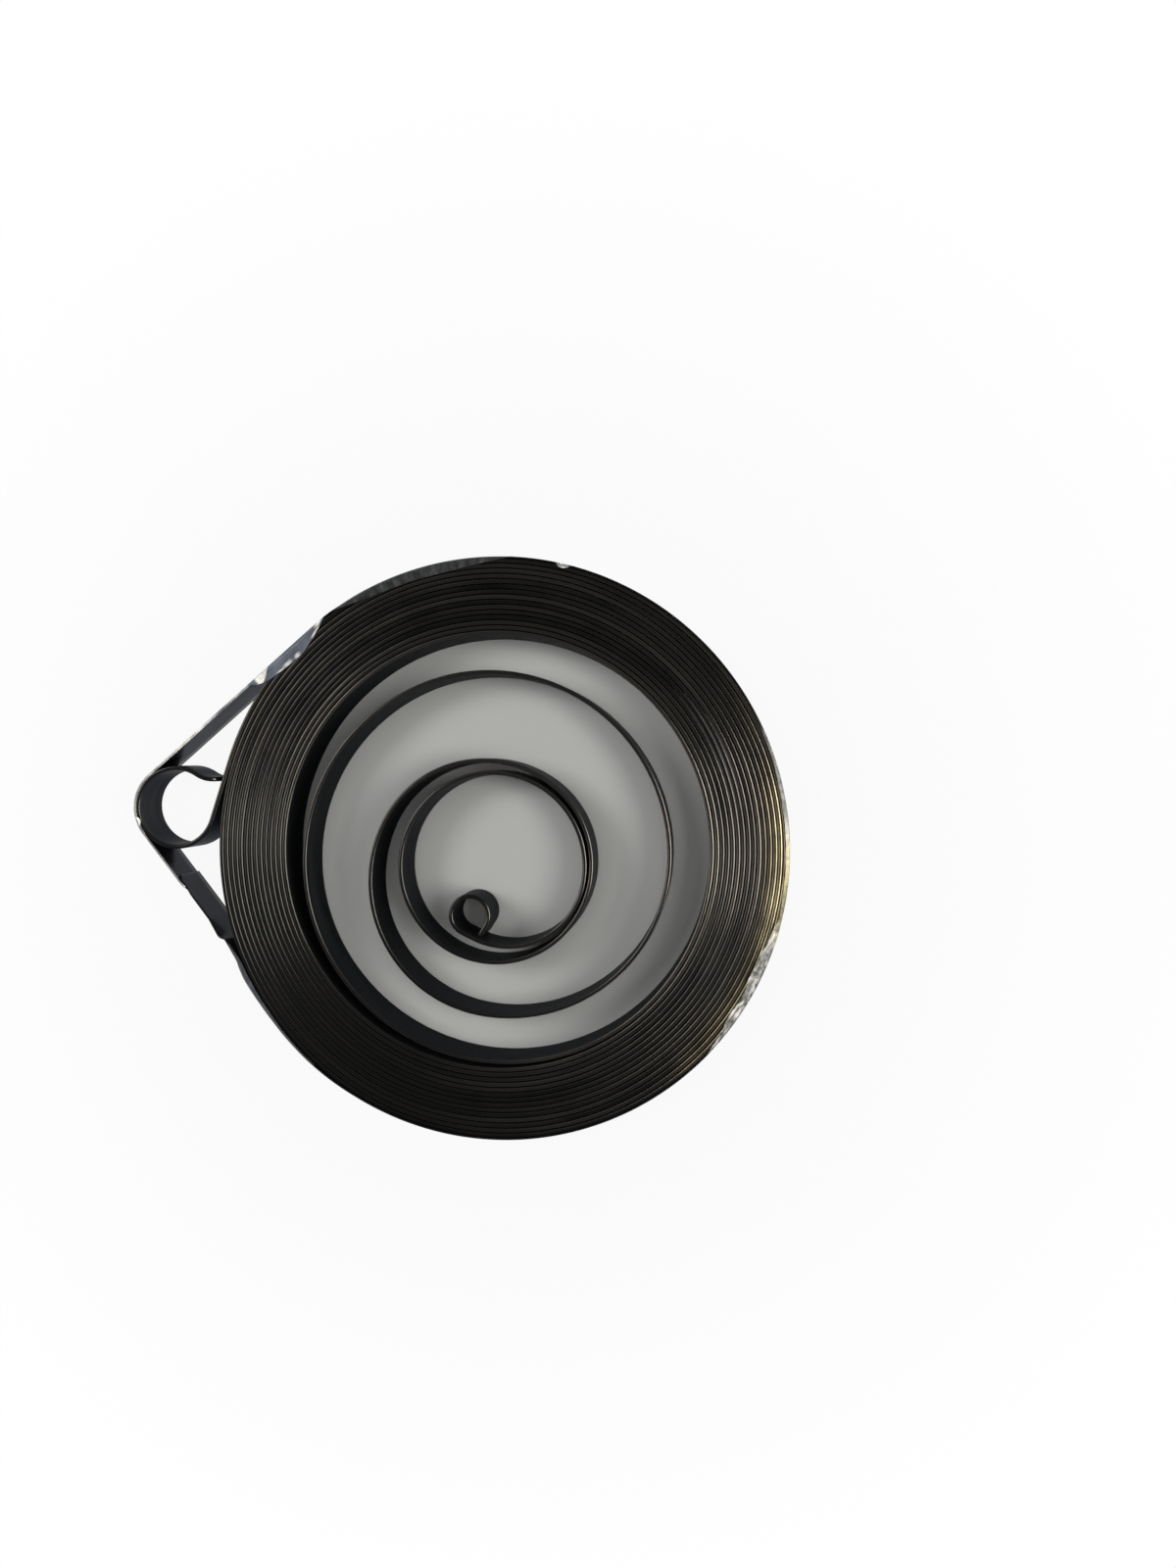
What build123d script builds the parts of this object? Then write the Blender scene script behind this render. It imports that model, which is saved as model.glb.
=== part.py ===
# Flat spiral recoil spring wound from one steel strip, held closed by a thin band.
# Millimetres. +Z is the coil axis, z = 0 is the face it lies on, the outer eye points to -X.
from build123d import *
from math import acos, atan2, cos, degrees, hypot, radians, sin, sqrt
import os

os.makedirs("parts", exist_ok=True)

# Strip
strip_width = 8.0
strip_thickness = 0.7
turn_gap = 0.21

# Wound pack
pack_start_angle = -33.0
pack_turns = 12

# Free turns, inside out: how far each arc opens beyond a tight spiral
free_arc_sweep = 105.1
free_radius = 12.0
opening_1 = 1.9
opening_2 = 0.0
opening_3 = 0.0
opening_4 = 0.28
opening_5 = 1.92
opening_6 = 2.69
opening_7 = 4.36
opening_8 = 2.58
opening_9 = 1.31
opening_10 = 1.84
opening_11 = 1.24

# Inner eye
inner_eye_bore_radius = 2.6
inner_eye_sweep = 276.0
inner_eye_lead = 1.9
inner_eye_clearance = 0.2

# Outer eye
outer_eye_bore_radius = 5.9
outer_eye_clearance = 0.9
tip_bend_radius = 4.9
tip_angle = 59.0
tip_clearance = 0.15

# Retaining band
band_thickness = 0.25
band_clearance = 0.05
band_lap_start = 8.6
band_lap_length = 2.9
band_dip = 12.0
band_dip_radius = 6.0

pitch = strip_thickness + turn_gap
band_offset = strip_thickness / 2 + band_clearance + band_thickness / 2
band_lap = band_thickness + band_clearance
inner_eye_radius = inner_eye_bore_radius + strip_thickness / 2
outer_eye_radius = outer_eye_bore_radius + strip_thickness / 2


def polar(centre, radius, angle):
    return (centre[0] + radius * cos(radians(angle)), centre[1] + radius * sin(radians(angle)))


def bearing(start, end):
    return degrees(atan2(end[1] - start[1], end[0] - start[0]))


def distance(start, end):
    return hypot(end[0] - start[0], end[1] - start[1])


# A path is a list of arcs (centre, radius, start angle, end angle) and lines (start, end).
# Its left side faces an arc's centre where the angle rises, and away from it where it falls.
def side_point(segment, offset, at_end):
    if len(segment) == 2:
        start, end = segment
        base = end if at_end else start
        return polar(base, offset, bearing(start, end) + 90)
    centre, radius, start_angle, end_angle = segment
    turn = 1 if end_angle > start_angle else -1
    return polar(centre, radius - turn * offset, end_angle if at_end else start_angle)


def side_edge(segment, offset):
    start = side_point(segment, offset, False)
    end = side_point(segment, offset, True)
    if len(segment) == 2:
        return Edge.make_line((*start, 0), (*end, 0))
    centre, radius, start_angle, end_angle = segment
    middle = side_point((centre, radius, start_angle, (start_angle + end_angle) / 2), offset, True)
    return Edge.make_three_point_arc((*start, 0), (*middle, 0), (*end, 0))


def strip_solid(path, thickness, width):
    left = [side_edge(segment, thickness / 2) for segment in path]
    right = [side_edge(segment, -thickness / 2) for segment in path]
    caps = []
    for segment, at_end in ((path[0], False), (path[-1], True)):
        a = side_point(segment, thickness / 2, at_end)
        b = side_point(segment, -thickness / 2, at_end)
        caps.append(Edge.make_line((*a, 0), (*b, 0)))
    face = Face(Wire(left + right + caps))
    return extrude(face, amount=width, dir=(0, 0, 1))


def free_radii():
    openings = (
        opening_1,
        opening_2,
        opening_3,
        opening_4,
        opening_5,
        opening_6,
        opening_7,
        opening_8,
        opening_9,
        opening_10,
        opening_11,
    )
    radii = [free_radius]
    for opening in openings:
        radii.append(radii[-1] + opening + pitch * free_arc_sweep / 360)
    return radii


# Half turns about two centres a half pitch apart, either side of the coil axis.
def pack_arc(index):
    side = -1 if index % 2 == 0 else 1
    centre = polar((0, 0), side * pitch / 4, pack_start_angle)
    start = pack_start_angle + 180 * index
    return centre, free_radii()[-1] + index * pitch / 2, start, start + 180


def outer_eye_centre(centre, radius):
    reach = radius + outer_eye_radius + outer_eye_clearance
    return centre[0] - sqrt(reach**2 - centre[1] ** 2), 0.0


def last_pack_arc():
    for index in range(2 * pack_turns, 2 * pack_turns + 3):
        centre, radius, start, end = pack_arc(index)
        eye = outer_eye_centre(centre, radius)
        lean = degrees(acos((radius + outer_eye_radius) / distance(centre, eye)))
        leave = bearing(centre, eye) % 360 - lean + 360 * pack_turns
        if start < leave <= end:
            return index, (centre, radius, start, leave)


# The free turns run inward from the pack and end in the inner eye.
def inner_path():
    centre, radius, angle, _ = pack_arc(0)
    point = polar(centre, radius, angle)
    path = []
    for radius in reversed(free_radii()[:-1]):
        centre = polar(point, -radius, angle)
        path.append((centre, radius, angle, angle - free_arc_sweep))
        angle -= free_arc_sweep
        point = polar(centre, radius, angle)
    start = point
    point = polar(start, inner_eye_lead, angle - 90)
    path.append((start, point))
    centre = polar(point, -inner_eye_radius, angle)
    path.append((centre, inner_eye_radius, angle, angle - inner_eye_sweep))
    point = polar(centre, inner_eye_radius, angle - inner_eye_sweep)
    height = inner_eye_radius * (1 - cos(radians(inner_eye_sweep)))
    fall = height - strip_thickness - inner_eye_clearance
    path.append((point, polar(point, -fall / sin(radians(inner_eye_sweep)), angle - inner_eye_sweep - 90)))
    return path


def reversed_path(path):
    turned = []
    for segment in reversed(path):
        if len(segment) == 2:
            turned.append((segment[1], segment[0]))
        else:
            centre, radius, start_angle, end_angle = segment
            turned.append((centre, radius, end_angle, start_angle))
    return turned


# A straight leaves the outermost turn, the eye winds the other way and its tip comes back to the straight.
def outer_eye_path():
    _, (centre, radius, _, leave) = last_pack_arc()
    eye = outer_eye_centre(centre, radius)
    straight = (polar(centre, radius, leave), polar(eye, outer_eye_radius, leave + 180))
    tip_height = strip_thickness + tip_clearance + tip_bend_radius * cos(radians(tip_angle))
    tip_reach = outer_eye_radius + tip_bend_radius
    eye_end = leave - degrees(acos((tip_height - outer_eye_radius) / tip_reach))
    tip_centre = polar(eye, tip_reach, eye_end)
    return [
        straight,
        (eye, outer_eye_radius, leave + 180, eye_end),
        (tip_centre, tip_bend_radius, eye_end + 180, leave + 180 - tip_angle),
    ]


def spring_path():
    path = reversed_path(inner_path())
    last_index, last_arc = last_pack_arc()
    path += [pack_arc(index) for index in range(last_index)]
    path.append(last_arc)
    return path + outer_eye_path()


# Angle of the line that touches both a pack arc and the outer eye on one side, up (-1) or down (+1).
def wrap_angle(index, eye, side):
    centre, radius, _, _ = pack_arc(index)
    return bearing(centre, eye) % 360 + side * degrees(acos((radius - outer_eye_radius) / distance(centre, eye)))


def wrap_contact(eye, side, dip, turns):
    last_index, _ = last_pack_arc()
    for index in range(last_index, last_index - 4, -1):
        angle = wrap_angle(index, eye, side) - dip + 360 * turns
        _, _, start, end = pack_arc(index)
        if start <= angle < end:
            return index, angle


# The band leaves the coil above the eye, goes round the eye and laps over its own start below it.
def band_path():
    _, (last_centre, last_radius, _, _) = last_pack_arc()
    eye = outer_eye_centre(last_centre, last_radius)
    eye_radius = outer_eye_radius + band_offset
    first, contact = wrap_contact(eye, 1, band_dip, pack_turns - 1)
    top, release = wrap_contact(eye, -1, 0, pack_turns)

    centre, radius, _, _ = pack_arc(first)
    dip_centre = polar(centre, radius + band_offset + band_dip_radius, contact)
    under_radius = eye_radius - band_lap
    spread = degrees(acos((under_radius + band_dip_radius) / distance(eye, dip_centre)))
    lower = bearing(eye, dip_centre) % 360 - spread
    under_start = polar(polar(eye, under_radius, lower), band_lap_start, lower + 90)
    path = [
        (under_start, polar(dip_centre, band_dip_radius, lower + 180)),
        (dip_centre, band_dip_radius, lower + 180, contact % 360 + 180),
    ]
    for index in range(first, top + 1):
        centre, radius, start, end = pack_arc(index)
        path.append((centre, radius + band_offset, max(start, contact), min(end, release)))
    coil_end = polar(centre, radius + band_offset, release)
    path.append((coil_end, polar(eye, eye_radius, release)))
    path.append((eye, eye_radius, release % 360, lower))
    over_start = polar(eye, eye_radius, lower)
    path.append((over_start, polar(over_start, band_lap_start + band_lap_length, lower + 90)))
    return path


recoil_spring = strip_solid(spring_path(), strip_thickness, strip_width)
retaining_band = strip_solid(band_path(), band_thickness, strip_width)

export_step(recoil_spring, "parts/recoil_spring.step")
export_step(retaining_band, "parts/retaining_band.step")
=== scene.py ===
import math

import bpy
import numpy as np
from mathutils import Matrix, Vector, noise


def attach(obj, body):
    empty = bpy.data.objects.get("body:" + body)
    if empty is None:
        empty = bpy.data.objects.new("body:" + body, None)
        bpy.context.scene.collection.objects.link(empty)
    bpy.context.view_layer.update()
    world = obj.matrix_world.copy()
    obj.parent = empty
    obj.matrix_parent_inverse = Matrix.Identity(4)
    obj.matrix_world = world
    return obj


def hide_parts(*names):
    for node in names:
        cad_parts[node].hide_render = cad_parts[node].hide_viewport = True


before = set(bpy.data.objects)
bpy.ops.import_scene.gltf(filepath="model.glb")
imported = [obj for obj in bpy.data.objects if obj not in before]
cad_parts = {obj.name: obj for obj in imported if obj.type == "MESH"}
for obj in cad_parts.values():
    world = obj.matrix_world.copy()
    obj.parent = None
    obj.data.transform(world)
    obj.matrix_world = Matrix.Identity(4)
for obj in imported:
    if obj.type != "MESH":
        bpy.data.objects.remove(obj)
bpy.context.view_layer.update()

# Lengths are in millimetres and angles in degrees, and MM turns lengths into Blender's metres
MM = 0.001

# Strip: its edges are rounded, and its waves lift it off the floor by LIFT_ROOM at most
WIDTH = 8.0
THICKNESS = 0.68
ROUND_RADIUS = THICKNESS / 2 - 0.05
ROUND_POINTS = 7
ROUND_LEAD = 0.12
FACE_INSET = 0.75
LIFT_ROOM = 0.12

# Wound pack
PITCH = 0.78
PACK_START = -33.0
PACK_TURNS = 14

# Free turns, inside out: how far each arc opens beyond a tight spiral
FREE_SWEEP = 105.1
FREE_RADIUS = 12.0
OPENINGS = (1.94, 0.03, 0.03, 0.32, 1.96, 2.73, 4.40, 2.62, 1.35, 1.88, 1.36)
FREE_RADII = [FREE_RADIUS]
for opening in OPENINGS:
    FREE_RADII.append(FREE_RADII[-1] + opening + PITCH * FREE_SWEEP / 360)

# Eyes: radii and gaps are to the middle of the strip
INNER_EYE_RADIUS = 2.925
INNER_EYE_SWEEP = 276
INNER_EYE_LEAD = 1.9
INNER_EYE_GAP = 0.9
OUTER_EYE_RADIUS = 6.225
OUTER_EYE_GAP = 0.9
TIP_BEND = 4.9
TIP_ANGLE = 59.0
TIP_HEIGHT = 0.8
# Length over which the tip is cut round, and the share of the width left at its end
TIP_ROUND = 2.4
TIP_END = 0.2

# Band: it dips in beside the lower left of the coil and laps over its own start there
BAND = 0.2
BAND_CLEAR = 0.06
BAND_DIP = 12.0
BAND_BEND = 6.0
LAP_START = 8.6
LAP_END = 11.5
# The first part of the band, under the lap, has no folded margin
LAP_COVER = 12.6

# Rows up the band's wall as shares of its height, and steps across its folded margin
WALL_ROWS = (0.015, 0.2, 0.45, 0.7, 0.88, 0.965, 0.99)
WALL_FOOT = 0.04
WALL_DROP = 0.10
MARGIN_STEPS = 6
MARGIN_DEPTH = 0.035
MARGIN_RISE = (0.08, 0.30)
FOLD_RANGE = (0.04, 2.4)
WEB_EDGE = 0.1
# Corners cut off at the band's two ends: length and drop
START_CORNER = (1.2, 1.1)
END_CORNER = (1.6, 1.2)

# Angles round the coil axis of places on the band's margin
WIDE_FOLD = 113
SPOT = 83.5
SHINE = 8
TEAR = -21
# Angle round the outer eye of the glint on its margin, and its half width
EYE_GLINT = -153
EYE_GLINT_HALF = 6
# Where the margin is folded in: angle, half width, how far in, and how much the creases and
# the slow wave change that
FOLDS = (
    (TEAR, 15, 1.25, 0.45, 0.0),
    (WIDE_FOLD, 19, 1.7, 0.0, 0.3),
    (SHINE, 30, 0.55, 0.10, 0.0),
    (SPOT, 1.6, 0.6, 0.0, 0.0),
)
# Where it is crumpled: angle, half width and how rough it is
CRUMPLED = ((TEAR, 17, 0.9), (SPOT, 2, 0.8), (SHINE + 2, 30, 0.25))

# Rows of distance along the band and value. WEB's distance starts where the band leaves the
# coil above the eye, the others start with the band; SLACK is a share, the other values lengths.
WEB = (
    (-3.6, 0.0), (-2.6, 0.5), (0.0, 1.5), (2.5, 2.2), (6.0, 2.15), (9.6, 1.8), (11.4, 1.2),
    (12.6, 0.0),
)
SLACK = ((12.6, 0.0), (14.0, 0.6), (17.5, 1.0), (26.0, 0.6), (38.0, 0.0))
STAND = (
    (3.2, 0.0), (8.6, 0.0), (11.4, 0.42), (12.0, 0.42), (12.6, 0.25), (15.0, 0.50), (17.5, 0.75),
    (19.6, 0.80), (23.5, 0.50), (27.5, 0.30), (36.5, 0.18), (45.0, 0.0),
)
SLACK_FOLD = ((12.6, 0.0), (17.5, 0.75), (20.0, 0.85), (24.0, 0.60), (30.0, 0.35), (40.0, 0.0))
START_TOP = (
    (0.0, 7.55), (3.0, 7.55), (3.6, 7.80), (11.9, 7.95), (12.4, 7.20), (13.2, 7.30),
    (17.5, 7.85), (34.0, 7.90),
)
# Painted glints on creases in the web, white highlights painted into the film's colour: distance,
# share of the margin, and half sizes of both
WEB_GLINTS = (
    (-2.2, 0.35, 1.1, 0.35),
    (-1.0, 0.9, 1.3, 0.22),
    (3.6, 0.92, 0.55, 0.2),
    (5.6, 0.9, 1.0, 0.2),
    (7.2, 0.97, 0.9, 0.12),
)
# The web's torn end: where its flap, painted white as a highlight, starts and ends, and how soon
# it is full width
FLAP = (8.2, 11.2)
FLAP_RISE = 2.2
FLAP_GLINT = 0.85


def polar(centre, radius, angle):
    angle = math.radians(angle)
    return (centre[0] + radius * math.cos(angle), centre[1] + radius * math.sin(angle))


def bearing(start, end):
    return math.degrees(math.atan2(end[1] - start[1], end[0] - start[0]))


def distance(start, end):
    return math.hypot(end[0] - start[0], end[1] - start[1])


# A path is a list of arcs (centre, radius, start angle, end angle) and lines (start, end).
def pack_arc(index):
    """Half turns about two centres, a half pitch apart, either side of the coil axis."""
    side = -1 if index % 2 == 0 else 1
    centre = polar((0, 0), side * PITCH / 4, PACK_START)
    start = PACK_START + 180 * index
    return centre, FREE_RADII[-1] + index * PITCH / 2, start, start + 180


def outer_eye_centre(centre, radius):
    reach = radius + OUTER_EYE_RADIUS + OUTER_EYE_GAP
    return (centre[0] - math.sqrt(reach**2 - centre[1] ** 2), 0.0)


def last_pack_arc():
    for index in range(2 * PACK_TURNS, 2 * PACK_TURNS + 3):
        centre, radius, start, end = pack_arc(index)
        eye = outer_eye_centre(centre, radius)
        lean = math.degrees(math.acos((radius + OUTER_EYE_RADIUS) / distance(centre, eye)))
        leave = bearing(centre, eye) % 360 - lean + 360 * PACK_TURNS
        if start < leave <= end:
            return index, (centre, radius, start, leave)


def inner_path():
    """Inward from the pack: the free turns, a straight lead, the inner eye and its end."""
    centre, radius, angle, _ = pack_arc(0)
    point = polar(centre, radius, angle)
    path = []
    for radius in reversed(FREE_RADII[:-1]):
        centre = polar(point, -radius, angle)
        path.append((centre, radius, angle, angle - FREE_SWEEP))
        angle -= FREE_SWEEP
        point = polar(centre, radius, angle)
    lead = polar(point, INNER_EYE_LEAD, angle - 90)
    path.append((point, lead))
    centre = polar(lead, -INNER_EYE_RADIUS, angle)
    path.append((centre, INNER_EYE_RADIUS, angle, angle - INNER_EYE_SWEEP))
    point = polar(centre, INNER_EYE_RADIUS, angle - INNER_EYE_SWEEP)
    sweep = math.radians(INNER_EYE_SWEEP)
    fall = INNER_EYE_RADIUS * (1 - math.cos(sweep)) - INNER_EYE_GAP
    path.append((point, polar(point, -fall / math.sin(sweep), angle - (INNER_EYE_SWEEP + 90))))
    return path


def turned(path):
    return [(s[1], s[0]) if len(s) == 2 else (s[0], s[1], s[3], s[2]) for s in reversed(path)]


def outer_path():
    """A straight off the outermost turn, the outer eye, and its tip bent back to the straight."""
    _, (centre, radius, _, leave) = last_pack_arc()
    eye = outer_eye_centre(centre, radius)
    height = TIP_HEIGHT + TIP_BEND * math.cos(math.radians(TIP_ANGLE))
    reach = OUTER_EYE_RADIUS + TIP_BEND
    end = leave - math.degrees(math.acos((height - OUTER_EYE_RADIUS) / reach))
    return [
        (polar(centre, radius, leave), polar(eye, OUTER_EYE_RADIUS, leave + 180)),
        (eye, OUTER_EYE_RADIUS, leave + 180, end),
        (polar(eye, reach, end), TIP_BEND, end + 180, leave + 180 - TIP_ANGLE),
    ]


def spring_path():
    last, arc = last_pack_arc()
    return turned(inner_path()) + [pack_arc(k) for k in range(last)] + [arc] + outer_path()


def wrap_contact(last, eye, side, dip, turns):
    """The pack arc and the angle where the band meets it, on one side of the outer eye."""
    for index in range(last, last - 4, -1):
        centre, radius, start, end = pack_arc(index)
        lean = math.degrees(math.acos((radius - OUTER_EYE_RADIUS) / distance(centre, eye)))
        angle = bearing(centre, eye) % 360 + side * lean - dip + 360 * turns
        if start <= angle < end:
            return index, angle


def band_path():
    """The lap's start, the dip, the coil, the span to the eye, the eye and the lap's end."""
    last, (centre, radius, _, _) = last_pack_arc()
    eye = outer_eye_centre(centre, radius)
    offset = THICKNESS / 2 + BAND_CLEAR + BAND / 2
    eye_radius = OUTER_EYE_RADIUS + offset
    first, contact = wrap_contact(last, eye, 1, BAND_DIP, PACK_TURNS - 1)
    top, release = wrap_contact(last, eye, -1, 0.0, PACK_TURNS)

    centre, radius, _, _ = pack_arc(first)
    dip = polar(centre, radius + offset + BAND_BEND, contact)
    under = eye_radius - BAND - BAND_CLEAR
    spread = math.degrees(math.acos((under + BAND_BEND) / distance(eye, dip)))
    lower = bearing(eye, dip) % 360 - spread
    start = polar(polar(eye, under, lower), LAP_START, lower + 90)
    path = [
        (start, polar(dip, BAND_BEND, lower + 180)),
        (dip, BAND_BEND, lower + 180, contact % 360 + 180),
    ]
    for index in range(first, top + 1):
        centre, radius, begin, end = pack_arc(index)
        path.append((centre, radius + offset, max(begin, contact), min(end, release)))
    path.append((polar(centre, radius + offset, release), polar(eye, eye_radius, release)))
    path.append((eye, eye_radius, release % 360, lower))
    over = polar(eye, eye_radius, lower)
    path.append((over, polar(over, LAP_END, lower + 90)))
    return path


# Arcs of a smaller radius, which are the eyes and the bends, are tight
TIGHT_RADIUS = 10


def stations(path, step, wide, tight):
    """Points along a path, step apart on lines, and degrees apart on wide and on tight arcs.

    Rows of x, y, the tangent's x and y, distance along the path and number of the segment.
    """
    rows = []
    so_far = 0.0
    for number, segment in enumerate(path):
        part = []
        if len(segment) == 2:
            start, end = segment
            length = distance(start, end)
            n = max(2, math.ceil(length / step))
            tx, ty = (end[0] - start[0]) / length, (end[1] - start[1]) / length
            for j in range(n + 1):
                s = length * j / n
                part.append((start[0] + tx * s, start[1] + ty * s, tx, ty, so_far + s, number))
        else:
            centre, radius, start, end = segment
            way = 1 if end > start else -1
            length = abs(math.radians(end - start)) * radius
            apart = wide if radius > TIGHT_RADIUS else tight
            n = max(2, math.ceil(abs(end - start) / apart))
            for j in range(n + 1):
                angle = start + (end - start) * j / n
                tx, ty = polar((0, 0), way, angle + 90)
                s = length * j / n
                part.append((*polar(centre, radius, angle), tx, ty, so_far + s, number))
        rows += part[1:] if rows else part
        so_far += length
    return np.array(rows)


# How far apart the noise of two seeds lies
SEED_STEP = 7.31


def wave(seed, s, length):
    """Smooth unevenness between about -1 and 1 along the strip, with waves of about one length."""
    y = seed * SEED_STEP
    return np.array([noise.noise(Vector((at / length, y, 0.0))) for at in s.tolist()])


def follow(rows, at):
    return np.interp(at, *zip(*rows))


def place_rings(st, aside, heights):
    """Rings of points set out sideways from each station: an array (stations, points, 3)."""
    x, y, tx, ty = (st[:, k, None] for k in range(4))
    return np.stack([x - ty * aside, y + tx * aside, heights], 2)


def skin(name, rings):
    """A closed mesh from rings of points, one ring for each station."""
    n, m, _ = rings.shape
    faces = []
    for i in range(n - 1):
        for j in range(m):
            k = (j + 1) % m
            faces.append((i * m + j, i * m + k, (i + 1) * m + k, (i + 1) * m + j))
    faces.append(tuple(reversed(range(m))))
    faces.append(tuple(range((n - 1) * m, n * m)))
    me = bpy.data.meshes.new(name)
    me.from_pydata((rings.reshape(-1, 3) * MM).tolist(), [], faces)
    me.update()
    me.shade_smooth()
    ob = bpy.data.objects.new(name, me)
    bpy.context.scene.collection.objects.link(ob)
    return ob


def girth(ring):
    """Distance round a ring from its first point to each point, and back to the first."""
    steps = np.linalg.norm(np.diff(np.vstack([ring, ring[:1]]), axis=0), axis=1)
    return np.concatenate([[0], np.cumsum(steps)])


# In the bake layout: spacing of the rows, least side of the square, and margin round it
ROW_SPACING = 1.12
ROW_ROOM = 1.01
BAKE_MARGIN = 0.01


def lay_out(ob, along, around, row):
    """UVMap is metres along and round the strip. OFBake cuts it into rows that fill a square."""
    me = ob.data
    plain = me.uv_layers.new(name="UVMap")
    baked = me.uv_layers.new(name="OFBake")
    n, m = len(along), len(around) - 1
    vertex = np.zeros(len(me.loops), np.int64)
    me.loops.foreach_get("vertex_index", vertex)
    station, point = vertex // m, vertex % m
    face = np.repeat(np.arange(len(me.polygons)), [p.loop_total for p in me.polygons])
    cap = face >= (n - 1) * m
    # The last face of each ring ends where the ring began, a whole girth along
    closing = (face % m == m - 1) & (point == 0) & ~cap
    u = along[station]
    v = np.where(closing, around[-1], around[point])
    flat = np.stack([u, v], 1)
    number = np.floor(along[np.minimum(face // m, n - 1)] / row)
    high = around[-1] * ROW_SPACING
    side = max(row * ROW_ROOM, (np.floor(along[-1] / row) + 1) * high)
    cut = np.stack([u - number * row, v + number * high], 1) / side
    cut = cut * (1 - 2 * BAKE_MARGIN) + BAKE_MARGIN
    # The end caps share a corner of the square
    cut[cap] = BAKE_MARGIN / 2
    plain.data.foreach_set("uv", flat.astype(np.float32).ravel())
    baked.data.foreach_set("uv", cut.astype(np.float32).ravel())
    me.uv_layers.active = plain
    plain.active_render = True


def attribute(ob, name, values):
    layer = ob.data.attributes.new(name, "FLOAT", "POINT")
    layer.data.foreach_set("value", np.asarray(values, np.float32).ravel())


# Spring: one strip with drawn, rounded edges
def rounding(base, start, way):
    """Round one edge of the strip: rows of offset, height and how much a point is edge."""
    middle = ROUND_POINTS // 2
    rows = []
    for k in range(ROUND_POINTS):
        q = start + math.pi * k / (ROUND_POINTS - 1)
        side = way * ((k < middle) - (k > middle))
        u = (THICKNESS / 2 - ROUND_RADIUS) * side + ROUND_RADIUS * math.cos(q)
        crown = abs(math.sin(q)) ** 0.5 if 0 < k < ROUND_POINTS - 1 else 0.0
        rows.append((u, base + ROUND_RADIUS * math.sin(q), crown))
    return rows


def strip_ring():
    """The strip's outline across its length, in the same kind of rows."""
    half = THICKNESS / 2
    near_foot = ROUND_RADIUS + ROUND_LEAD
    up = (FACE_INSET, WIDTH / 2, WIDTH - FACE_INSET, WIDTH - ROUND_RADIUS - ROUND_LEAD)
    ring = [(half, z, 0.0) for z in up]
    ring += rounding(WIDTH - ROUND_RADIUS, 0.0, 1)
    ring += [(-half, z, 0.0) for z in (*reversed(up), near_foot)]
    ring += rounding(ROUND_RADIUS, math.pi, -1)
    ring.append((half, near_foot, 0.0))
    return np.array(ring)


def make_spring():
    st = stations(spring_path(), step=0.8, wide=2.3, tight=5.0)
    s = st[:, 4]
    ring = strip_ring()
    # Each turn stands a little high or low of its neighbours, and waves a little
    lift = np.clip(0.05 + 0.05 * wave(1, s, 190.0) + 0.03 * wave(2, s, 23.0), 0.0, LIFT_ROOM)
    sway = 0.018 * wave(3, s, 31.0)
    lean = 0.006 * wave(4, s, 57.0)
    u = ring[:, 0] + sway[:, None] + lean[:, None] * (ring[:, 1] - WIDTH / 2)
    z = ring[:, 1] * ((WIDTH - LIFT_ROOM) / WIDTH) + lift[:, None]
    # The tip of the outer eye is cut round
    into = np.clip((TIP_ROUND - (s[-1] - s)) / (TIP_ROUND + 0.1), 0, 1)
    narrow = TIP_END + (1 - TIP_END) * np.sqrt(np.clip(1 - into**2, 0.03, 1))
    z = WIDTH / 2 + (z - WIDTH / 2) * narrow[:, None]
    ob = skin("spring_strip", place_rings(st, u, z))
    lay_out(ob, s * MM, girth(ring[:, :2]) * MM, row=0.26)
    attribute(ob, "edge", np.tile(ring[:, 2], len(s)))
    attribute(ob, "reach", np.repeat(np.hypot(st[:, 0], st[:, 1]), len(ring)))
    return ob


# Band: thin film round the coil and the outer eye, its top margin folded in over what it holds
def both_sides(rows):
    return np.hstack([rows, rows[:, ::-1]])


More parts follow.
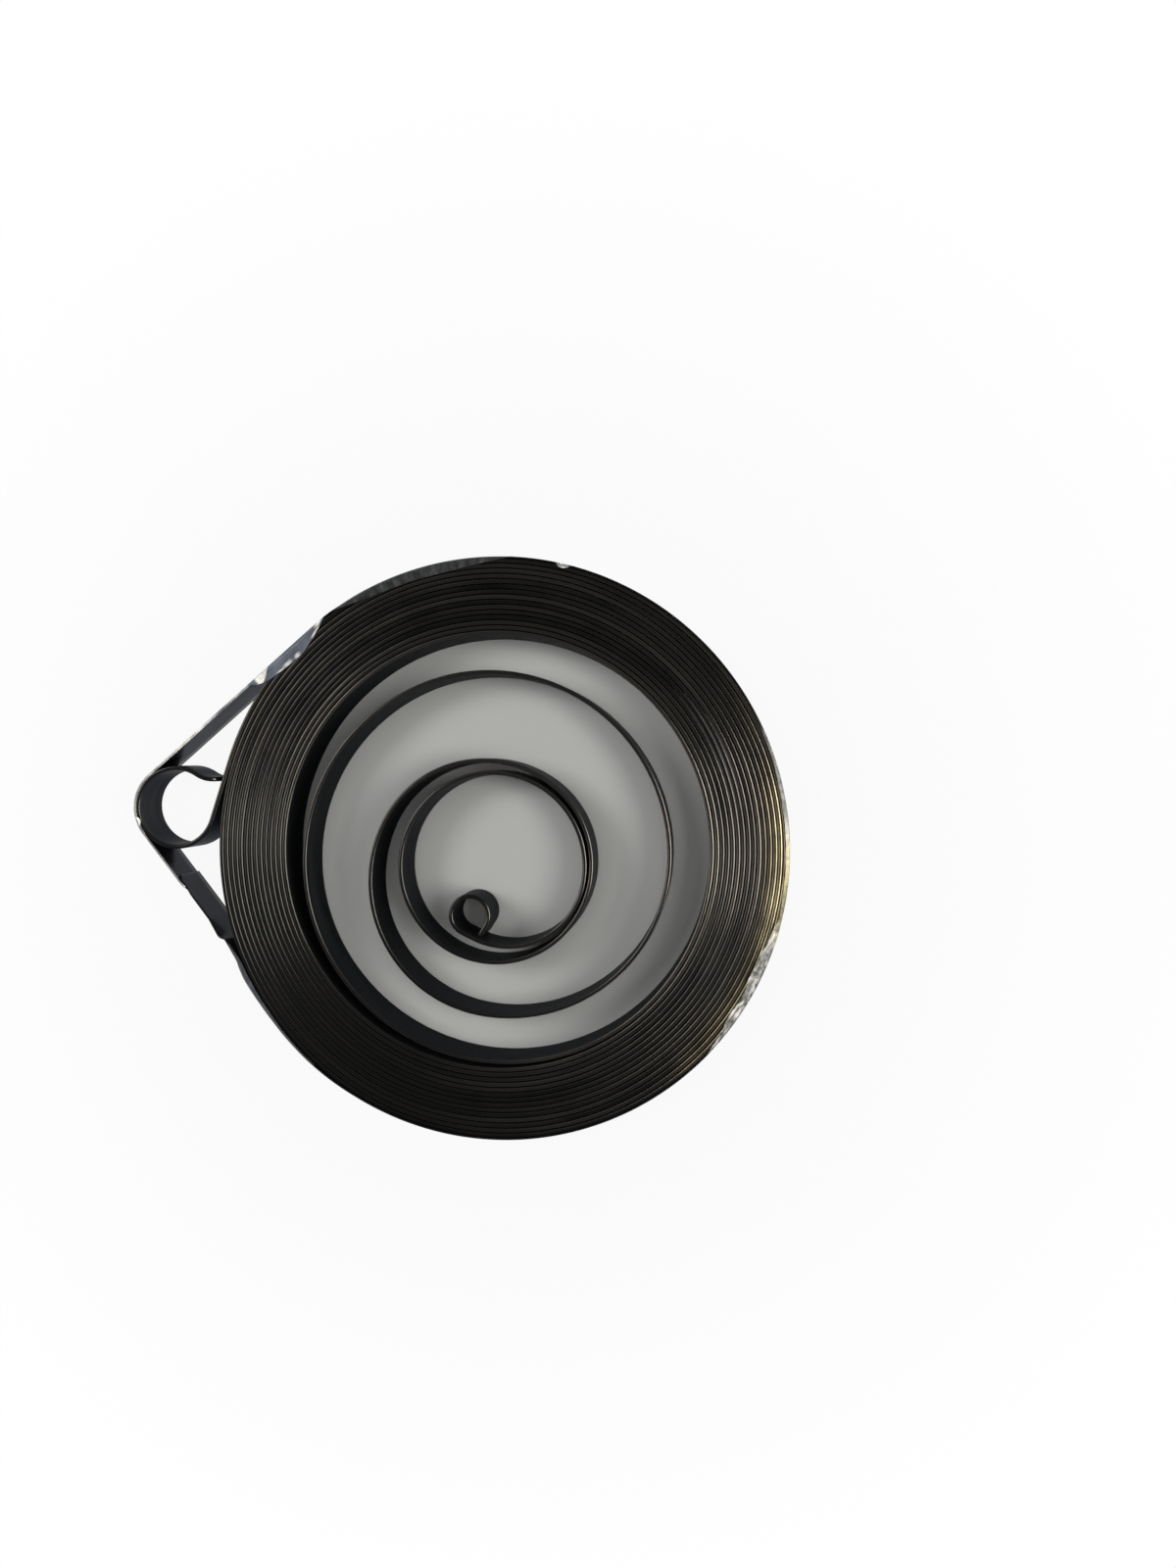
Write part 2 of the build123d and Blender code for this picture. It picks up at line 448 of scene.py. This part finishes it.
def make_band():
    st = stations(band_path(), step=0.36, wide=0.5, tight=2.25)
    x, y, _, _, s, segment = st.T
    last = segment.max()
    coil = (segment >= 2) & (segment <= last - 3)
    span = segment == last - 2
    eye = segment == last - 1
    end = segment == last
    angle = np.degrees(np.arctan2(y, x))
    crease = wave(11, s, 2.1) + 0.7 * wave(12, s, 0.9)
    slow = wave(13, s, 9.0)

    def near(centre, half):
        """1 at an angle round the coil, falling to 0 at half degrees either side."""
        away = (angle - centre + 180) % 360 - 180
        return np.clip(1 - (away / half) ** 2, 0, 1) * coil

    _, (centre, radius, _, _) = last_pack_arc()
    middle = outer_eye_centre(centre, radius)
    turn = np.degrees(np.arctan2(y - middle[1], x - middle[0]))
    glint = eye * np.clip(1 - ((turn - EYE_GLINT) / EYE_GLINT_HALF) ** 2, 0, 1)
    free = s - s[span].min()
    web = follow(WEB, free)
    slack = follow(SLACK, s)

    # How far the margin is folded in; under the lap it isn't
    fold = 0.10 + 0.05 * slow
    for place, half, inward, creased, waved in FOLDS:
        fold += near(place, half) * (inward + creased * crease + waved * slow)
    fold += (eye | span) * (0.34 + 0.10 * slow) + glint * 0.35 + end * 0.22
    fold += follow(SLACK_FOLD, s)
    fold = np.maximum(np.clip(fold, *FOLD_RANGE), web) * (s > LAP_COVER)
    # How crumpled it is
    rough = np.full(len(s), 0.08)
    for place, half, amount in CRUMPLED:
        rough += near(place, half) * amount
    rough = (rough + (web > WEB_EDGE) * 0.55)[:, None]
    crumple = [np.abs(wave(20 + k, s, 1.5 + 0.25 * k)) * 2.0 - 0.35 for k in range(MARGIN_STEPS)]
    crumple = np.stack(crumple, 1)
    buckle = np.stack([wave(30 + k // 2, s, 2.6) for k in range(MARGIN_STEPS)], 1)
    # How high the wall stands, with a corner cut off at each end of the band
    top = np.where(s < START_TOP[-1][0], follow(START_TOP, s), WIDTH - WALL_DROP + 0.05 * slow)
    for to_end, (length, drop) in ((s, START_CORNER), (s[-1] - s, END_CORNER)):
        top -= drop * np.clip(1 - to_end / length, 0, 1) ** 2

    top, fold, web = top[:, None], fold[:, None], web[:, None]
    share = np.arange(1, MARGIN_STEPS + 1) / MARGIN_STEPS
    wall = WALL_FOOT + np.array(WALL_ROWS) * (top - WALL_FOOT)
    rise = 0.14 + 0.06 * np.sin(math.pi * np.minimum(share * 1.2, 1.0))
    rise = rise + 0.12 * rough * crumple * np.minimum(1.0, fold)
    margin = top + np.clip(rise, *MARGIN_RISE)
    inward = -BAND / 2 + fold * share + 0.10 * rough * buckle * share
    back = inward + BAND * (1 - share)
    side = np.full(wall.shape, BAND / 2)
    aside = np.hstack([-side, inward, back[:, ::-1], side]) - follow(STAND, s)[:, None]
    z = np.hstack([wall, margin, (margin - MARGIN_DEPTH)[:, ::-1], wall[:, ::-1] - 0.01])
    rings = place_rings(st, aside, z)

    # Where the margin is solid or painted white as a glint; step -1 is the wall's top row. An
    # amount of painted glint is a base, then how much the slow wave, the creases and the crumples
    # change it.
    step = np.arange(-1, MARGIN_STEPS)
    folded = step >= 0
    across = (step + 1) / MARGIN_STEPS
    crumpled = crumple[:, np.maximum(step, 0)]
    crease, slow, slack, free, glint = (v[:, None] for v in (crease, slow, slack, free, glint))
    web_glint = np.zeros((len(s), len(step)))
    for at, into, half, depth in WEB_GLINTS:
        mark = 1 - ((free - at) / half) ** 2 - ((across - into) / depth) ** 2
        web_glint = np.maximum(web_glint, mark)
    flap = (free > FLAP[0]) & (free < FLAP[1]) & (across < (free - FLAP[0]) / FLAP_RISE)
    web_glint[flap] = FLAP_GLINT
    span_glint = 0.48 + 0.7 * slow + 0.35 * crease + 0.25 * crumpled
    eye_margin_glint = 0.36 + 0.35 * slow + 0.20 * crease + glint * np.where(step > 1, 1.4, -0.4)
    slack_glint = slack * (0.02 + 0.15 * crease)
    # Painted glints on the coil's margin: at the tear and the spot, and a painted gleam at the
    # right
    near_tear = near(TEAR, 15) ** 0.5 * 0.75 + near(SPOT, 1.4) * 0.7
    gleam = near(SHINE, 24) ** 0.5 * 0.50 + near(SHINE - 1, 8) * 0.5
    coil_glint = gleam[:, None] + near_tear[:, None] * np.maximum(0.0, 0.40 + 1.5 * crumpled)
    kinds = [web > WEB_EDGE, span[:, None], (eye | end)[:, None], slack > 0]
    glint_amounts = [web_glint, span_glint, eye_margin_glint * folded, slack_glint * folded]
    solids = [1.0, 1.0, 0.7 * folded, 0.40 * slack * folded]
    plain = np.zeros((len(s), len(WALL_ROWS) - 1))
    white = np.hstack([plain, np.select(kinds, glint_amounts, coil_glint * folded)])
    solid = np.hstack([plain, np.select(kinds, solids, 0.0)])
    wall_cover = (np.array(WALL_ROWS) >= 0.9) * 0.35 * (fold > 0.2)
    margin_cover = np.minimum(1.0, fold * 2.0) * np.ones(MARGIN_STEPS)

    ob = skin("band_film", rings)
    lay_out(ob, s * MM, girth(rings[len(s) // 2]) * MM, row=0.08)
    attribute(ob, "cover", both_sides(np.hstack([wall_cover, margin_cover])))
    attribute(ob, "crinkle", np.repeat(rough, rings.shape[1], 1))
    attribute(ob, "solid", both_sides(solid))
    # white holds the painted glints, highlights painted into the film's colour
    attribute(ob, "white", np.clip(both_sides(white), 0, 1))
    return ob


# Materials
class Tree:
    """The nodes of a material or world. An input is given as a value or as another's output."""

    def __init__(self, owner, output):
        owner.use_nodes = True
        self.nodes = owner.node_tree.nodes
        self.links = owner.node_tree.links
        self.nodes.clear()
        self.out = self.nodes.new(output)

    def feed(self, socket, value):
        if isinstance(value, bpy.types.NodeSocket):
            self.links.new(value, socket)
        else:
            socket.default_value = (*value, 1.0) if socket.type == "RGBA" else value

    def add(self, kind, inputs=None, **props):
        node = self.nodes.new(kind)
        for key, value in props.items():
            setattr(node, key, value)
        for key, value in (inputs or {}).items():
            self.feed(node.inputs[key], value)
        return node

    def finish(self, surface):
        self.feed(self.out.inputs["Surface"], surface.outputs[0])

    def read(self, name):
        return self.add("ShaderNodeAttribute", attribute_name=name).outputs["Fac"]

    def uv(self):
        return self.add("ShaderNodeUVMap", uv_map="UVMap").outputs["UV"]

    def coordinate(self, name):
        return self.add("ShaderNodeTexCoord").outputs[name]

    def split(self, vector):
        node = self.add("ShaderNodeSeparateXYZ", {0: vector})
        return node.outputs["X"], node.outputs["Y"], node.outputs["Z"]

    def noise(self, vector, scale, detail, rough):
        inputs = {"Vector": vector, "Scale": scale, "Detail": detail, "Roughness": rough}
        return self.add("ShaderNodeTexNoise", inputs).outputs["Fac"]

    def drawn(self, scale, detail, rough):
        """Noise along the strip, stretched: scale is how many cells a metre along and across."""
        inputs = {"Vector": self.uv(), "Scale": (*scale, 0.0)}
        mapping = self.add("ShaderNodeMapping", inputs)
        return self.noise(mapping.outputs["Vector"], 1.0, detail, rough)

    def ramp(self, value, *stops):
        """A ramp through stops of position and grey."""
        node = self.add("ShaderNodeValToRGB", {"Fac": value})
        elements = node.color_ramp.elements
        while len(elements) < len(stops):
            elements.new(1.0)
        for element, (position, grey) in zip(elements, stops):
            element.position = position
            element.color = (grey, grey, grey, 1.0)
        return node.outputs["Color"]

    def mix(self, factor, a, b):
        node = self.add("ShaderNodeMix", {0: factor, 6: a, 7: b}, data_type="RGBA")
        return node.outputs[2]

    def math(self, operation, *values):
        node = self.add("ShaderNodeMath", operation=operation)
        for socket, value in zip(node.inputs, values):
            self.feed(socket, value)
        return node.outputs[0]

    def bump(self, height, strength, deep):
        inputs = {"Height": height, "Strength": strength, "Distance": deep}
        return self.add("ShaderNodeBump", inputs).outputs["Normal"]


# Ramps run from 0 to 1, so distances reach them in units of 100 millimetres
MM_TO_RAMP = 0.01
METRE_TO_RAMP = 10.0

FACE_DARK = (0.019, 0.021, 0.023)
FACE_LIGHT = (0.040, 0.042, 0.044)
FACE_STREAK = (0.062, 0.064, 0.065)
RIM_DARK = (0.010, 0.009, 0.008)
RIM_LIGHT = (0.026, 0.024, 0.020)
# Brighter edge colour for a painted highlight
RIM_PAINTED_BRIGHT = (0.070, 0.062, 0.052)
RIM_FLECK = (0.12, 0.11, 0.09)
RIM_FREE_TURNS = (0.085, 0.078, 0.066)
# Straw colour of the painted warm highlight on the right of the coil
RIM_PAINTED_WARM_HIGHLIGHT = (0.30, 0.25, 0.15)
RIM_LOWER_LEFT = (0.016, 0.015, 0.013)
RIM_PLAIN = (0.020, 0.020, 0.020)


def steel():
    mat = bpy.data.materials.new("oiled_spring_steel")
    t = Tree(mat, "ShaderNodeOutputMaterial")
    place = t.coordinate("Object")
    edge = t.read("edge")
    reach = t.math("MULTIPLY", t.read("reach"), MM_TO_RAMP)
    x, y, _ = t.split(place)
    x = t.math("MULTIPLY", x, METRE_TO_RAMP)
    y = t.math("MULTIPLY", y, METRE_TO_RAMP)
    streaks = t.drawn((90.0, 9000.0), detail=4.0, rough=0.6)
    stains = t.drawn((55.0, 420.0), detail=5.0, rough=0.6)
    flecks = t.drawn((1400.0, 2600.0), detail=2.0, rough=0.6)
    lengths = t.drawn((9.0, 0.0), detail=3.0, rough=0.6)
    patches = t.noise(place, scale=140.0, detail=4.0, rough=0.6)

    face = t.mix(t.ramp(stains, (0.3, 0.0), (0.7, 1.0)), FACE_DARK, FACE_LIGHT)
    face = t.mix(t.ramp(streaks, (0.35, 0.0), (0.75, 0.6)), face, FACE_STREAK)

    rim = t.mix(t.ramp(patches, (0.35, 0.0), (0.65, 1.0)), RIM_DARK, RIM_LIGHT)
    # Lengths of the edges painted brighter, a painted highlight for turns that catch more light
    rim = t.mix(t.ramp(lengths, (0.42, 0.0), (0.62, 1.0)), rim, RIM_PAINTED_BRIGHT)
    rim = t.mix(t.ramp(flecks, (0.70, 0.0), (0.82, 0.4)), rim, RIM_FLECK)
    rim = t.mix(t.ramp(reach, (0.335, 0.8), (0.348, 0.0)), rim, RIM_FREE_TURNS)
    # Straw colour painted on the outermost turns at the right and lower right, a painted warm
    # highlight
    outer = t.ramp(reach, (0.405, 0.0), (0.430, 1.0))
    right = t.ramp(x, (0.30, 0.0), (0.40, 1.0))
    low = t.ramp(y, (0.08, 1.0), (0.20, 0.15))
    painted_warm_highlight = t.math("MULTIPLY", outer, t.math("MULTIPLY", right, low))
    painted_warm_highlight = t.math("MULTIPLY", painted_warm_highlight, t.ramp(patches, (0.30, 0.25), (0.60, 1.0)))
    rim = t.mix(painted_warm_highlight, rim, RIM_PAINTED_WARM_HIGHLIGHT)
    # The edges are darker towards the lower left, beside the band's lap
    corner = t.math("MULTIPLY", t.math("ADD", x, y), -0.5)
    corner = t.math("DIVIDE", corner, reach)
    rim = t.mix(t.ramp(corner, (0.32, 0.0), (0.60, 0.80)), rim, RIM_LOWER_LEFT)
    # The innermost free turns and the outer eye are duller
    wound = t.ramp(reach, (0.29, 0.55), (0.325, 1.0), (0.445, 1.0), (0.455, 0.5))
    rim = t.mix(wound, RIM_PLAIN, rim)

    worn = t.math("MULTIPLY", edge, t.ramp(stains, (0.2, 0.55), (0.7, 1.0)))
    rough = t.math("ADD", t.math("MULTIPLY", stains, 0.22), t.math("MULTIPLY", streaks, 0.12))
    rough = t.math("ADD", rough, t.math("SUBTRACT", 0.22, t.math("MULTIPLY", edge, 0.15)))
    grain = t.math("ADD", streaks, t.math("MULTIPLY", flecks, 0.6))
    grain = t.math("MULTIPLY", grain, t.math("SUBTRACT", 1.0, edge))
    shader = {
        "Base Color": t.mix(worn, face, rim),
        "Metallic": 0.88,
        "Roughness": rough,
        "Specular IOR Level": 0.25,
        "Specular Tint": (0.32, 0.33, 0.35),
        "Normal": t.bump(grain, strength=0.35, deep=0.00003),
    }
    t.finish(t.add("ShaderNodeBsdfPrincipled", shader))
    return mat


WALL_DARK = (0.016, 0.017, 0.019)
WALL_LIGHT = (0.030, 0.032, 0.036)
SLATE_DARK = (0.045, 0.051, 0.066)
SLATE_LIGHT = (0.105, 0.115, 0.140)
SLATE_SCRATCH = (0.23, 0.24, 0.27)
LIP_PLAIN = (0.050, 0.052, 0.054)
CREASE_DARK = (0.11, 0.112, 0.108)
CREASE_LIGHT = (0.42, 0.42, 0.38)
# Colours of the painted glints on the film
GLINT_WHITE = (0.86, 0.83, 0.76)
GLINT_YELLOW = (0.84, 0.72, 0.36)


def film():
    mat = bpy.data.materials.new("creased_film")
    t = Tree(mat, "ShaderNodeOutputMaterial")
    place = t.coordinate("Object")
    cover, crinkle = t.read("cover"), t.read("crinkle")
    solid, white = t.read("solid"), t.read("white")
    soft = t.noise(place, scale=260.0, detail=4.0, rough=0.55)
    fine = t.drawn((900.0, 1500.0), detail=5.0, rough=0.65)
    scratches = t.drawn((120.0, 60000.0), detail=2.0, rough=0.6)
    mottle = t.ramp(soft, (0.35, 0.0), (0.65, 1.0))

    wall = t.mix(mottle, WALL_DARK, WALL_LIGHT)
    creased = t.mix(t.ramp(fine, (0.45, 0.0), (0.68, 1.0)), CREASE_DARK, CREASE_LIGHT)
    lip = t.mix(crinkle, LIP_PLAIN, creased)
    slate = t.mix(mottle, SLATE_DARK, SLATE_LIGHT)
    slate = t.mix(t.ramp(scratches, (0.50, 0.0), (0.72, 0.8)), slate, SLATE_SCRATCH)
    shade = t.mix(solid, t.mix(cover, wall, lip), slate)
    # Painted glints: highlights painted white into the film's colour, and yellow at the far right
    # of the coil
    x, _, _ = t.split(place)
    right = t.ramp(t.math("MULTIPLY", x, METRE_TO_RAMP), (0.430, 0.0), (0.442, 1.0))
    painted_glint = t.math("MULTIPLY", white, t.ramp(fine, (0.34, 0.55), (0.56, 1.0)))
    dark = t.math("SUBTRACT", 1.0, t.math("MAXIMUM", cover, white))
    height = t.math("ADD", t.math("MULTIPLY", soft, 0.5), t.math("MULTIPLY", fine, crinkle))
    shader = {
        "Base Color": t.mix(painted_glint, shade, t.mix(right, GLINT_WHITE, GLINT_YELLOW)),
        "Metallic": t.math("MULTIPLY", dark, 0.7),
        "Roughness": t.math("ADD", t.math("MULTIPLY", soft, 0.22), 0.08),
        "IOR": 1.52,
        "Specular IOR Level": 0.22,
        "Specular Tint": (0.34, 0.35, 0.38),
        "Coat Weight": 0.03,
        "Coat Roughness": 0.05,
        "Normal": t.bump(height, strength=0.6, deep=0.0002),
    }
    body = t.add("ShaderNodeBsdfPrincipled", shader)
    clear = t.add("ShaderNodeBsdfTransparent", {"Color": (0.90, 0.91, 0.90)})
    # The folded margin lets what it covers show through, but not where it is solid or has a
    # painted glint
    see = t.math("MULTIPLY", cover, t.ramp(fine, (0.40, 0.80), (0.72, 0.25)))
    opaque = t.math("MAXIMUM", solid, white)
    see = t.math("MULTIPLY", see, t.math("SUBTRACT", 1.0, opaque))
    t.finish(t.add("ShaderNodeMixShader", {0: see, 1: body.outputs[0], 2: clear.outputs[0]}))
    return mat


def floor_material():
    """Plain grey, lit by the lamps. Outside the coil it is seen as white, but lights nothing."""
    mat = bpy.data.materials.new("pale_floor")
    t = Tree(mat, "ShaderNodeOutputMaterial")
    length = t.add("ShaderNodeVectorMath", {0: t.coordinate("Object")}, operation="LENGTH")
    radius = length.outputs["Value"]
    outside = t.ramp(t.math("MULTIPLY", radius, METRE_TO_RAMP), (0.36, 0.0), (0.42, 1.0))
    fade = {"Value": radius, "From Min": 0.04, "From Max": 0.14, "To Min": 0.92}
    fade = t.add("ShaderNodeMapRange", fade, interpolation_type="SMOOTHSTEP")
    ray = t.add("ShaderNodeLightPath").outputs
    seen = t.math("MAXIMUM", ray["Is Camera Ray"], ray["Is Glossy Ray"])
    seen = t.math("MAXIMUM", seen, ray["Is Transmission Ray"])
    shown = t.math("MULTIPLY", fade.outputs["Result"], outside)
    matte = t.add("ShaderNodeBsdfDiffuse", {"Color": (0.38, 0.38, 0.37)})
    white = t.add("ShaderNodeEmission", {"Strength": 1.0})
    factor = t.math("MULTIPLY", shown, seen)
    t.finish(t.add("ShaderNodeMixShader", {0: factor, 1: matte.outputs[0], 2: white.outputs[0]}))
    return mat


# Floor, world, lamps and camera: from here on all lengths are in metres
FLOOR_HALF = 6.0
FLOOR_DROP = 0.00002
# The sine of the height where the white walls start to dim, and where they reach the ceiling
WALL_TOP = (0.08, 0.45)
SIDE_RISE = 0.35
CEILING = (0.10, 0.105, 0.11)


def make_floor():
    me = bpy.data.meshes.new("floor")
    h = FLOOR_HALF
    corners = [(-h, -h, 0), (h, -h, 0), (h, h, 0), (-h, h, 0)]
    me.from_pydata(corners, [], [(0, 1, 2, 3)])
    me.materials.append(floor_material())
    floor = bpy.data.objects.new("floor", me)
    floor.location = (0, 0, -FLOOR_DROP)
    bpy.context.scene.collection.objects.link(floor)


def make_world():
    """White walls and a dim ceiling. The walls to the left and right are white higher up."""
    world = bpy.data.worlds.new("studio")
    bpy.context.scene.world = world
    t = Tree(world, "ShaderNodeOutputWorld")
    x, _, z = t.split(t.coordinate("Generated"))
    height = t.math("MULTIPLY_ADD", t.math("ABSOLUTE", x), -SIDE_RISE, z)
    climb = {"Value": height, "From Min": WALL_TOP[0], "From Max": WALL_TOP[1]}
    climb = t.add("ShaderNodeMapRange", climb, interpolation_type="SMOOTHSTEP")
    colour = t.mix(climb.outputs["Result"], (1.0, 1.0, 1.0), CEILING)
    t.finish(t.add("ShaderNodeBackground", {"Color": colour, "Strength": 1.0}))


def lamp(name, place, size, watts, colour, diffuse=True, glossy=True):
    """A soft rectangular lamp that points at the coil."""
    data = bpy.data.lights.new(name, "AREA")
    data.shape = "RECTANGLE"
    data.size, data.size_y = size
    data.energy = watts
    data.color = colour
    ob = bpy.data.objects.new(name, data)
    ob.location = place
    ob.rotation_mode = "QUATERNION"
    ob.rotation_quaternion = (-Vector(place)).to_track_quat("-Z", "Y")
    ob.visible_diffuse = diffuse
    ob.visible_glossy = glossy
    bpy.context.scene.collection.objects.link(ob)


# The camera's place and directions were worked out from the photo's perspective
CAMERA_PLACE = (0.031737, 0.018000, 0.184796)
CAMERA_RIGHT = (0.98633, 0.12346, -0.10914)
CAMERA_UP = (-0.12643, 0.99176, -0.02067)
FOCAL_PIXELS = 1202.0
PHOTO_HEIGHT = 1600.0
SENSOR = 36.0


def make_camera():
    data = bpy.data.cameras.new("camera")
    data.sensor_fit = "VERTICAL"
    data.sensor_height = SENSOR
    data.sensor_width = SENSOR
    data.lens = FOCAL_PIXELS / PHOTO_HEIGHT * SENSOR
    data.clip_start = 0.01
    data.clip_end = 50.0
    ob = bpy.data.objects.new("camera", data)
    right = Vector(CAMERA_RIGHT).normalized()
    back = right.cross(Vector(CAMERA_UP)).normalized()
    up = back.cross(right)
    turn = Matrix((right, up, back)).transposed().to_4x4()
    ob.matrix_world = Matrix.Translation(CAMERA_PLACE) @ turn
    bpy.context.scene.collection.objects.link(ob)
    bpy.context.scene.camera = ob


make_camera()
make_floor()
make_world()
# Three lamps light the surfaces, and two show only as highlights along the strip's edges
lamp("soft_left", (-0.36, 0.10, 0.48), (0.24, 0.24), 1.7, (1.0, 0.995, 0.985), glossy=False)
lamp("soft_right", (0.36, 0.04, 0.48), (0.24, 0.24), 1.7, (1.0, 0.99, 0.96), glossy=False)
lamp("soft_top", (0.05, 0.10, 0.90), (0.80, 0.80), 2.6, (1.0, 1.0, 1.0), glossy=False)
lamp("shine_left", (-0.50, 0.07, 0.42), (0.40, 0.22), 2.2, (1.0, 0.98, 0.96), diffuse=False)
lamp("shine_right", (0.54, 0.08, 0.28), (0.42, 0.28), 9.0, (1.0, 0.95, 0.86), diffuse=False)

spring = make_spring()
spring.data.materials.append(steel())
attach(spring, "root")
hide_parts("recoil_spring")

band = make_band()
band.data.materials.append(film())
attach(band, "root")
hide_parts("retaining_band")

bpy.context.scene.view_settings.view_transform = "Standard"
